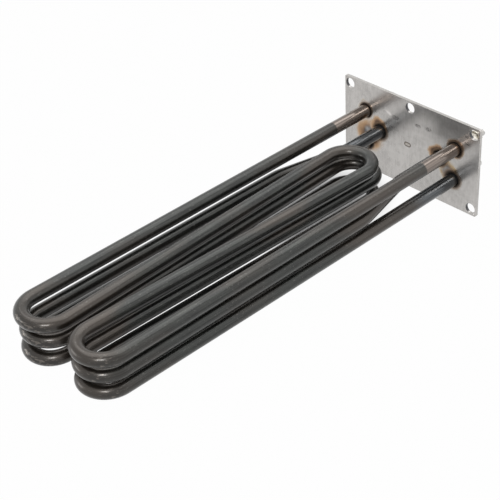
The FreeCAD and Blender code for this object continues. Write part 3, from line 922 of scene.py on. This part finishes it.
class Sweep:
    """Draws a ring along runs and bends into a tube, and notes where on the rod each vert lies.

    The newest ring's edges have their middle here, at a station along the rod, and the rod's heading
    there is an angle from +X.
    """

    RUN_STEP = 12 * MM
    BEND_STEP = math.radians(7.5)
    HAIRPIN = 0.5 * math.pi
    PRESS_POWER = 0.6

    def __init__(self, start: Vector, heading: float, facets: int) -> None:
        """Draw the first ring, which stands upright across the Y axis.

        Args:
            start: Its middle.
            heading: Where the rod goes from there.
            facets: Points round it.
        """
        self.mesh = bmesh.new()
        self.rod_place = self.mesh.verts.layers.float_vector.new("rod_place")
        self.pressed = self.mesh.verts.layers.float.new("pressed")
        self.here = start
        self.heading = heading
        self.station = 0.0
        self.bent: list[BentRing] = []
        upright = Matrix.Translation(start) @ Matrix.Rotation(0.5 * math.pi, 4, "X")
        made = bmesh.ops.create_circle(self.mesh, segments=facets, radius=BUNDLE.tube_radius, matrix=upright)
        for vert in made["verts"]:
            offset = vert.co - start
            vert[self.rod_place] = (offset.x, offset.z, 0.0)
        self.edges = list(self.mesh.edges)

    def run(self, length: float) -> None:
        """Draw the newest ring straight ahead.

        Args:
            length: How far.
        """
        forward = Vector((math.cos(self.heading), math.sin(self.heading), 0.0))
        count = max(1, round(length / self.RUN_STEP))
        for _ in range(count):
            verts, self.edges = self._extrude(self.edges)
            bmesh.ops.translate(self.mesh, verts=verts, vec=forward * (length / count))
            self._note(verts, length / count)
        self.here = self.here + forward * length

    def bend(self, radius: float, turn: float) -> None:
        """Draw the newest ring round a bend.

        Args:
            radius: The bend's radius.
            turn: The angle, positive to the left.
        """
        way = math.copysign(1.0, turn)
        sideways = Vector((-math.sin(self.heading), math.cos(self.heading), 0.0))
        centre = self.here + sideways * (way * radius)
        arm = self.here - centre
        count = max(2, math.ceil(abs(turn) / self.BEND_STEP))
        for index in range(1, count + 1):
            made = bmesh.ops.spin(
                self.mesh, geom=self.edges, cent=centre, axis=(0.0, 0.0, 1.0), dvec=ORIGIN,
                angle=turn / count, steps=1, use_merge=False, use_duplicate=False,
            )
            verts, self.edges = split(made["geom_last"])
            self._note(verts, abs(turn) * radius / count)
            if abs(turn) > self.HAIRPIN:
                angle = turn * index / count
                share = math.sin(math.pi * index / count) ** self.PRESS_POWER if index < count else 0.0
                middle = centre + Matrix.Rotation(angle, 3, "Z") @ arm
                axes = Matrix.Translation(middle) @ Matrix.Rotation(self.heading + angle, 4, "Z")
                self.bent.append(BentRing(verts, axes.inverted(), share, way))
        self.here = centre + Matrix.Rotation(turn, 3, "Z") @ arm
        self.heading += turn

    def bore(self) -> None:
        """Close the tube at the newest ring with the steps that hold the seal and the pin."""
        edges, depth, radius = self.edges, 0.0, BUNDLE.tube_radius
        for narrow, reach in ((BUNDLE.seal_radius, BUNDLE.seal_depth), (BUNDLE.pin_radius, BUNDLE.pin_depth)):
            verts, edges = self._extrude(edges)
            away = Matrix.Translation(-(self.here - Vector((0.0, depth, 0.0))))
            share = narrow / radius
            bmesh.ops.scale(self.mesh, verts=verts, vec=(share, 1.0, share), space=away)
            verts, edges = self._extrude(edges)
            bmesh.ops.translate(self.mesh, verts=verts, vec=(0.0, depth - reach, 0.0))
            depth, radius = reach, narrow
        bmesh.ops.edgeloop_fill(self.mesh, edges=edges)

    def press(self, swell: float, flatten: float) -> None:
        """Press the hairpin bends, and note how far their outer sides are pressed.

        Args:
            swell: How much wider a fully pressed ring is.
            flatten: How much lower it is.
        """
        for ring in self.bent:
            size = (1.0, 1.0 + swell * ring.share, 1.0 - flatten * ring.share)
            bmesh.ops.scale(self.mesh, verts=ring.verts, vec=size, space=ring.space)
            for vert in ring.verts:
                outward = -ring.way * vert[self.rod_place].x / BUNDLE.tube_radius
                vert[self.pressed] = ring.share * max(0.0, outward)

    def _extrude(self, edges: list[Edge]) -> tuple[list[Vert], list[Edge]]:
        """Draw a new ring out of edges, still in their place."""
        return split(bmesh.ops.extrude_edge_only(self.mesh, edges=edges)["geom"])

    def _note(self, verts: list[Vert], step: float) -> None:
        """Step along the rod, and write on a ring how far along it lies.

        Args:
            verts: The ring.
            step: Its distance from the ring before.
        """
        self.station += step
        for vert in verts:
            across, up, _ = vert[self.rod_place]
            vert[self.rod_place] = (across, up, self.station)


@dataclass
class HeatingTube:
    """One W-bent heating tube, swept along the runs and bends of its centreline.

    Attributes:
        facets: Points round the tube.
        swell: How much wider than round a pressed bend is.
        flatten: How much lower than round a pressed bend is.
        joggle_front: Plate face to the front end of a joggle.
        joggle_back: Plate face to its back end.
    """

    layer: Layer
    facets: int = 48
    swell: float = 0.045
    flatten: float = 0.02
    joggle_front: float = 86.0 * MM
    joggle_back: float = 34.4 * MM
    joggle_radius: float = 25.0 * MM

    def build(self) -> Mesh:
        """Sweep the tube from its left end behind the plate to its right one, bored at both.

        Returns:
            The tube.
        """
        plan = BUNDLE.plan(self.layer)
        bend = plan.bend_radius
        left = Vector((bend - plan.lead_offset, -plan.left_reach))
        right = Vector((plan.lead_offset - bend, -plan.right_reach))
        rear = Vector((plan.shift, -plan.setback))
        lean_left, leg_left = self._leg(left, rear, bend, 1)
        lean_right, leg_right = self._leg(right, rear, bend, -1)
        start = Vector((-plan.end_offset, BUNDLE.tube_end, plan.height))
        sweep = Sweep(start, -0.5 * math.pi, self.facets)
        sweep.bore()
        self._lead(sweep, plan, plan.left_reach, outward=True)
        sweep.bend(bend, math.pi + lean_left)
        sweep.run(leg_left)
        sweep.bend(bend, -(math.pi + lean_left + lean_right))
        sweep.run(leg_right)
        sweep.bend(bend, math.pi + lean_right)
        self._lead(sweep, plan, plan.right_reach, outward=False)
        sweep.bore()
        sweep.press(self.swell, self.flatten)
        self._lift(sweep.mesh, plan)
        return sweep.mesh

    @staticmethod
    def _leg(front: Vector, rear: Vector, bend: float, side: int) -> tuple[float, float]:
        """Work out the straight leg between a front bend and the rear bend.

        Args:
            front: The front bend's centre.
            rear: The rear bend's centre.
            bend: The radius of both bends.
            side: 1 for the left pair of bends and -1 for the right one.

        Returns:
            How far the leg leans from straight back, and how long it is.
        """
        way = rear - front
        length = math.sqrt(way.length_squared - (2 * bend) ** 2)
        cross = math.asin(2 * bend / way.length)
        return cross - side * math.atan2(way.x, way.y), length

    def _lead(self, sweep: Sweep, plan: TubePlan, reach: float, outward: bool) -> None:
        """Sweep a straight or joggled lead.

        Args:
            sweep: The tube so far.
            plan: The tube's lengths.
            reach: Plate face to the front bend's centre.
            outward: Whether it runs out from the plate or back to it.
        """
        offset = plan.lead_offset - plan.end_offset
        if offset == 0.0:
            sweep.run(reach + BUNDLE.tube_end)
            return
        drop = self.joggle_front - self.joggle_back
        across = 2 * self.joggle_radius - offset
        span = math.hypot(drop, across)
        slant = math.sqrt(span**2 - (2 * self.joggle_radius) ** 2)
        turn = math.asin(2 * self.joggle_radius / span) - math.atan2(across, drop)
        first, last = BUNDLE.tube_end + self.joggle_back, reach - self.joggle_front
        if not outward:
            first, last, turn = last, first, -turn
        sweep.run(first)
        sweep.bend(self.joggle_radius, -turn)
        sweep.run(slant)
        sweep.bend(self.joggle_radius, turn)
        sweep.run(last)

    @staticmethod
    def _lift(mesh: Mesh, plan: TubePlan) -> None:
        """Lift the runs towards the front and let the left front bend droop, as the plan says.

        Args:
            mesh: The tube.
            plan: Its lengths.
        """
        for vert in mesh.verts:
            ahead = min(0.0, vert.co.y) / plan.left_reach
            side = vert.co.x / plan.lead_offset
            if side > 0.0:
                vert.co.z += plan.right_lift * side * ahead**2
            else:
                beyond = max(0.0, -vert.co.y - plan.left_reach) / plan.bend_radius
                vert.co.z -= plan.left_lift * side * ahead**2 + plan.left_droop * beyond


@dataclass
class FlangePlate:
    """The plate: a copy of its solid with tighter corners and its sheared edges broken.

    Attributes:
        corner: The corner radius as it looks.
        slack: How far outside a corner a vert still counts as in it, as a share of its radius.
        flat: Faces that turn less than this are one.
        sheared: Edges where faces turn more than this are broken.
    """

    half_width: float = 55.0 * MM
    half_height: float = 31.25 * MM
    solid_corner: float = 2.5 * MM
    corner: float = 1.3 * MM
    edge_break: float = 0.2 * MM
    slack: float = 0.001
    flat: float = math.radians(0.5)
    sheared: float = math.radians(60)

    def build(self) -> Mesh:
        """Copy the solid, tighten its corners and round its sharp rims a little.

        Returns:
            The plate.
        """
        mesh = bmesh.new()
        mesh.from_mesh(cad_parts["flange_plate"].data)
        bmesh.ops.remove_doubles(mesh, verts=mesh.verts, dist=WELD)
        bmesh.ops.dissolve_limit(mesh, angle_limit=self.flat, verts=mesh.verts, edges=mesh.edges)
        shift = self.solid_corner - self.corner
        for vert in mesh.verts:
            wide = (abs(vert.co.x) - self.half_width) / self.solid_corner + 1.0
            high = (abs(vert.co.z) - self.half_height) / self.solid_corner + 1.0
            if min(wide, high) > -self.slack:
                vert.co.x += math.copysign(shift * (1.0 - wide), vert.co.x)
                vert.co.z += math.copysign(shift * (1.0 - high), vert.co.z)
        rims = [edge for edge in mesh.edges if edge.is_manifold and edge.calc_face_angle() > self.sheared]
        bmesh.ops.bevel(
            mesh, geom=rims, offset=self.edge_break, offset_type="OFFSET", segments=1, profile=0.5,
            affect="EDGES", material=-1, clamp_overlap=True,
        )
        return mesh


@dataclass
class EndFitting:
    """What is turned about the end of one tube: its braze bead, its ceramic seal and its stud.

    Attributes:
        bead_leg: How far the bead reaches along the plate and the tube.
        bead_ripples: Waves round the bead.
        pin_gap: Between the seal and the pin.
        stud_radius: Over the thread's crests.
        stud_length: How far the stud stands out of the seal.
        pitch: From one crest of the thread to the next.
    """

    station: Station
    bead_leg: float = 1.8 * MM
    bead_ripples: int = 17
    ripple_depth: float = 0.22 * MM
    pin_gap: float = 0.1 * MM
    collar_radius: float = 4.2 * MM
    stud_radius: float = 2.0 * MM
    stud_length: float = 12.5 * MM
    stud_chamfer: float = 0.55 * MM
    pitch: float = 0.7 * MM
    thread_depth: float = 0.4 * MM

    def turn(self, mesh: Mesh, seat: float, profile: list[Pair], steps: int, climb: float = 0.0) -> None:
        """Spin a profile of radii and depths once round the tube's axis.

        Args:
            mesh: The mesh that takes it.
            seat: The depth behind the plate from which the profile's depths count.
            profile: Radius and depth of each corner.
            steps: Facets round.
            climb: How far it moves along the axis; where it does, the profile stays open.
        """
        x, z = self.station.x, self.station.z
        verts = [mesh.verts.new((x + radius, seat + depth, z)) for radius, depth in profile]
        following = verts[1:] if climb else verts[1:] + verts[:1]
        edges = [mesh.edges.new(pair) for pair in zip(verts, following)]
        bmesh.ops.spin(
            mesh, geom=verts + edges, cent=(x, seat, z), axis=(0.0, 1.0, 0.0), dvec=(0.0, climb / steps, 0.0),
            angle=math.tau, steps=steps, use_merge=not climb, use_duplicate=False,
        )
        bmesh.ops.remove_doubles(mesh, verts=mesh.verts, dist=WELD)

    def arm(self, vert: Vert) -> Vector:
        """Give the way from the tube's axis straight out to a vert."""
        return Vector((vert.co.x - self.station.x, 0.0, vert.co.z - self.station.z))

    def bead(self) -> Mesh:
        """Turn the rippled bead of braze metal behind the plate.

        Returns:
            The bead.
        """
        mesh = bmesh.new()
        inner, leg = BUNDLE.tube_radius, self.bead_leg
        angles = [step * math.pi / 12 for step in range(7)]
        crown = [(inner + leg * math.cos(angle), leg * math.sin(angle)) for angle in angles]
        self.turn(mesh, BUNDLE.plate_thickness, [(inner, 0.0), *crown], 6 * self.bead_ripples)
        for vert in mesh.verts:
            arm = self.arm(vert)
            height = vert.co.y - BUNDLE.plate_thickness
            bulk = min(arm.length - inner, leg) * height / leg**2
            angle = math.atan2(arm.z, arm.x)
            wave = math.sin(self.bead_ripples * angle + 1.3 * math.sin(3 * angle)) - 1.0
            vert.co += (arm.normalized() + Vector((0.0, 1.0, 0.0))) * (self.ripple_depth * bulk * wave)
        return mesh

    def seal(self) -> Mesh:
        """Turn the ceramic bush: its stem in the tube and its soft-edged collar.

        Returns:
            The bush.
        """
        mesh = bmesh.new()
        bore = BUNDLE.pin_radius + self.pin_gap
        stem, depth = BUNDLE.seal_radius, BUNDLE.seal_depth
        rim, high = self.collar_radius, BUNDLE.collar_height
        edge = [(0.0, 0.80), (0.06, 0.50), (0.24, 0.24), (0.50, 0.06), (0.80, 0.0)]
        self.turn(mesh, BUNDLE.tube_end, [
            (bore, -depth), (stem, -depth), (stem, 0.0), (rim - 0.12 * MM, 0.0), (rim, 0.12 * MM),
            *((rim - inward * MM, high - below * MM) for inward, below in edge), (bore, high),
        ], 64)
        return mesh

    def stud(self) -> Mesh:
        """Turn the pin and cut the thread of the stud on its end.

        Returns:
            The pin with its stud.
        """
        mesh = bmesh.new()
        low = BUNDLE.tube_end + BUNDLE.collar_height
        top = low + self.stud_length
        crest, root, pitch = self.stud_radius, self.stud_radius - self.thread_depth, self.pitch
        crest_from, crest_to = 0.40 * pitch, 0.55 * pitch
        turns = math.ceil(self.stud_length / pitch) + 1
        outline = []
        for index in range(turns):
            start = (index - 1) * pitch
            outline += [(root, start), (crest, start + crest_from), (crest, start + crest_to)]
        outline.append((root, (turns - 1) * pitch))
        self.turn(mesh, low, outline, 40, climb=pitch)
        for depth, way in ((low, -1.0), (top, 1.0)):
            cut = bmesh.ops.bisect_plane(
                mesh, geom=mesh.verts[:] + mesh.edges[:] + mesh.faces[:], dist=0.1 * WELD,
                plane_co=(0.0, depth, 0.0), plane_no=(0.0, way, 0.0), clear_outer=True, clear_inner=False,
            )
            bmesh.ops.edgeloop_fill(mesh, edges=split(cut["geom_cut"])[1])
        for vert in mesh.verts:
            arm = self.arm(vert)
            most = crest - self.stud_chamfer + (top - vert.co.y)
            if arm.length > most:
                vert.co -= arm.normalized() * (arm.length - most)
        pin, bottom, high = BUNDLE.pin_radius, -BUNDLE.pin_depth, BUNDLE.collar_height
        self.turn(mesh, BUNDLE.tube_end, [(0.0, bottom), (pin, bottom), (pin, high), (0.0, high)], 32)
        return mesh


@dataclass
class Studio:
    """The plain studio: floor, soft lamps and the camera.

    Attributes:
        lens: Focal length in millimetres, on a sensor whose width is in millimetres too.
        tilt: How far the object leans forward on its plate and front bends, in radians.
        floor_drop: How far the floor lies under the frame's origin.
        sky_tone: The surroundings where they are light and aren't seen.
        gaps: The oval of painted shade on the floor between the tubes, as its middle and half lengths in
            millimetres.
        bundle: The oval of painted shade on the floor under the bundle, which reflections see, likewise.
        lamps: Name, place, size and power of each soft box.
        aim: What the lamps face.
    """

    camera_place: Point = (0.468773, -0.562993, 0.441609)
    camera_right: Point = (0.693586, 0.718636, -0.050009)
    camera_up: Point = (-0.389681, 0.432672, 0.812984)
    lens: float = 95.579
    sensor: float = 36.0
    tilt: float = math.radians(3.08)
    floor_drop: float = 31.3 * MM
    floor_size: float = 6.0
    floor_tone: Color = (0.40, 0.40, 0.40)
    sky_tone: Color = (0.16, 0.16, 0.16)
    white: Color = (1.0, 1.0, 1.0)
    gaps: tuple[Pair, Pair] = ((-24.0, -66.0), (42.0, 62.0))
    bundle: tuple[Pair, Pair] = ((-4.0, -172.0), (52.0, 122.0))
    lamps: tuple[tuple[str, Point, Pair, float], ...] = (
        ("top box", (-0.20, 0.10, 1.00), (1.4, 1.1), 8.6),
        ("left box", (-0.85, -0.95, 0.12), (0.5, 0.5), 2.0),
        ("front box", (0.50, -1.00, 0.92), (0.42, 0.32), 6.0),
        ("back box", (0.85, 0.55, 0.50), (0.9, 0.9), 1.2),
    )
    aim: Point = (0.0, -0.14, 0.0)

    def build(self) -> None:
        """Set the floor, the lamps, the world and the camera."""
        self._add_camera()
        self._add_floor()
        self._add_world()
        self._add_lamps()
        bpy.context.scene.view_settings.view_transform = "Standard"

    def _add_camera(self) -> None:
        """Place the camera where the photographer's stood."""
        data = bpy.data.cameras.new("camera")
        data.sensor_fit = "HORIZONTAL"
        data.sensor_width = self.sensor
        data.lens = self.lens
        data.clip_start = 0.05
        data.clip_end = 30.0
        camera = add_object("camera", data)
        right, up = Vector(self.camera_right), Vector(self.camera_up)
        turn = Matrix((right, up, right.cross(up))).transposed()
        camera.matrix_world = Matrix.Translation(self.camera_place) @ turn.to_4x4()
        bpy.context.scene.camera = camera

    def _add_floor(self) -> None:
        """Lay the pale floor under the plate's lower edge and the front bends."""
        mesh = bmesh.new()
        bmesh.ops.create_grid(mesh, x_segments=1, y_segments=1, size=self.floor_size)
        lean = Matrix.Translation((0.0, 0.0, -self.floor_drop)) @ Matrix.Rotation(-self.tilt, 4, "X")
        bmesh.ops.transform(mesh, matrix=lean, verts=mesh.verts)
        data = bpy.data.meshes.new("floor")
        mesh.to_mesh(data)
        mesh.free()
        data.materials.append(self._floor_material())
        floor = add_object("floor", data)

    def _floor_material(self) -> bpy.types.Material:
        """Make the floor white to look at, but for painted shade: grey between the tubes where ambient
        occlusion is high, and darker under the bundle where glossy rays see it.

        Returns:
            The material.
        """
        material = bpy.data.materials.new("studio floor")
        material.use_nodes = True
        graph = NodeGraph(material.node_tree)
        path = graph.add("LightPath").outputs
        mirrored = graph.plus(path["Is Glossy Ray"], path["Is Transmission Ray"], clamp=True)
        place = graph.add("TexCoord").outputs["Object"]
        gaps = self._oval(graph, place, *self.gaps)
        bundle = self._oval(graph, place, *self.bundle)
        open_share = graph.add("AmbientOcclusion", {"Distance": 60 * MM}, samples=16).outputs["AO"]
        # Painted shade: inside the gaps oval the white gives way to the grey lit floor where ambient
        # occlusion is high.
        under = graph.times(gaps, graph.band(graph.minus(1.0, open_share), 0.16, 0.34))
        seen = graph.times(path["Is Camera Ray"], graph.blend(under, 1.0, 0.12))
        # Painted shade in reflections: glossy rays see less white inside the bundle oval.
        shown = graph.times(mirrored, graph.blend(bundle, 1.0, 0.42))
        part = graph.times(graph.plus(seen, shown, clamp=True), 0.985)
        lit = graph.add("BsdfDiffuse", {"Color": self.floor_tone}).outputs[0]
        plain = graph.add("Emission", {"Color": self.white, "Strength": 1.0}).outputs[0]
        both = graph.add("MixShader", {0: part, 1: lit, 2: plain}).outputs[0]
        graph.add("OutputMaterial", {"Surface": both})
        return material

    @staticmethod
    def _oval(graph: NodeGraph, place: Socket, middle: Pair, half: Pair) -> Socket:
        """Give a soft oval on the floor, from 0 outside it to 1 inside.

        Args:
            graph: The floor's nodes.
            place: The point on the floor.
            middle: The oval's middle in millimetres.
            half: Its half lengths in millimetres.

        Returns:
            The mask.
        """
        offset = graph.vector("SUBTRACT", place, (middle[0] * MM, middle[1] * MM, 0.0))
        scaled = graph.stretch(offset, (1 / (half[0] * MM), 1 / (half[1] * MM), 0.0))
        return graph.band(graph.distance(scaled), 1.10, 0.50)

    def _add_world(self) -> None:
        """Make the surroundings white to look at and a soft grey as light."""
        world = bpy.data.worlds.new("studio")
        bpy.context.scene.world = world
        world.use_nodes = True
        graph = NodeGraph(world.node_tree)
        path = graph.add("LightPath").outputs
        seen = graph.plus(path["Is Camera Ray"], path["Is Glossy Ray"], clamp=True)
        seen = graph.plus(seen, path["Is Transmission Ray"], clamp=True)
        color = graph.mix(seen, self.sky_tone, self.white)
        light = graph.add("Background", {"Color": color, "Strength": 1.0})
        graph.add("OutputWorld", {"Surface": light.outputs[0]})

    def _add_lamps(self) -> None:
        """Hang the soft boxes, which face the object."""
        for name, place, size, power in self.lamps:
            data = bpy.data.lights.new(name, "AREA")
            data.shape = "RECTANGLE"
            data.size, data.size_y = size
            data.energy = power
            lamp = add_object(name, data)
            turn = (Vector(self.aim) - Vector(place)).to_track_quat("-Z", "Y")
            lamp.matrix_world = Matrix.Translation(place) @ turn.to_matrix().to_4x4()


def main() -> None:
    """Build and dress every piece, then set the studio."""
    workshop = Workshop()
    plain_ends = ScaledTube()
    bronze_ends = ScaledTube(
        name="scaled tube, bronze ends", end_color=(0.165, 0.135, 0.115), end_pale=(0.26, 0.21, 0.18),
        end_length=31.0 * MM, end_fade=1.2 * MM, end_rough=0.17, end_metal=0.85,
    )
    for layer, finish in ((Layer.UPPER, bronze_ends), (Layer.MIDDLE, plain_ends), (Layer.LOWER, plain_ends)):
        mesh = HeatingTube(layer).build()
        workshop.replace_solid(f"{layer.value}_heating_tube", mesh, finish, smooth_deg=40.0)
    plate = FlangePlate().build()
    workshop.replace_solid("flange_plate", plate, TintedFlange(), smooth_deg=25.0)
    for station in BUNDLE.stations():
        fitting = EndFitting(station)
        for part, mesh, finish, slot in (
            ("braze_bead", fitting.bead(), BrazeMetal(), Slot.BRAZE),
            ("end_seal", fitting.seal(), Steatite(), Slot.CERAMIC),
            ("terminal_stud", fitting.stud(), TurnedMetal(), Slot.TERMINAL),
        ):
            workshop.replace_solid(f"{station.name}_{part}", mesh, finish, smooth_deg=35.0)
    nickel = TurnedMetal(name="dull nickel", clean=(0.70, 0.67, 0.60), dull=(0.42, 0.39, 0.34), shine=0.22)
    for node in ("lock_nuts", "washers", "clamp_nuts"):
        workshop.dress_solid(node, nickel)
    Studio().build()


if __name__ == "__main__":
    main()
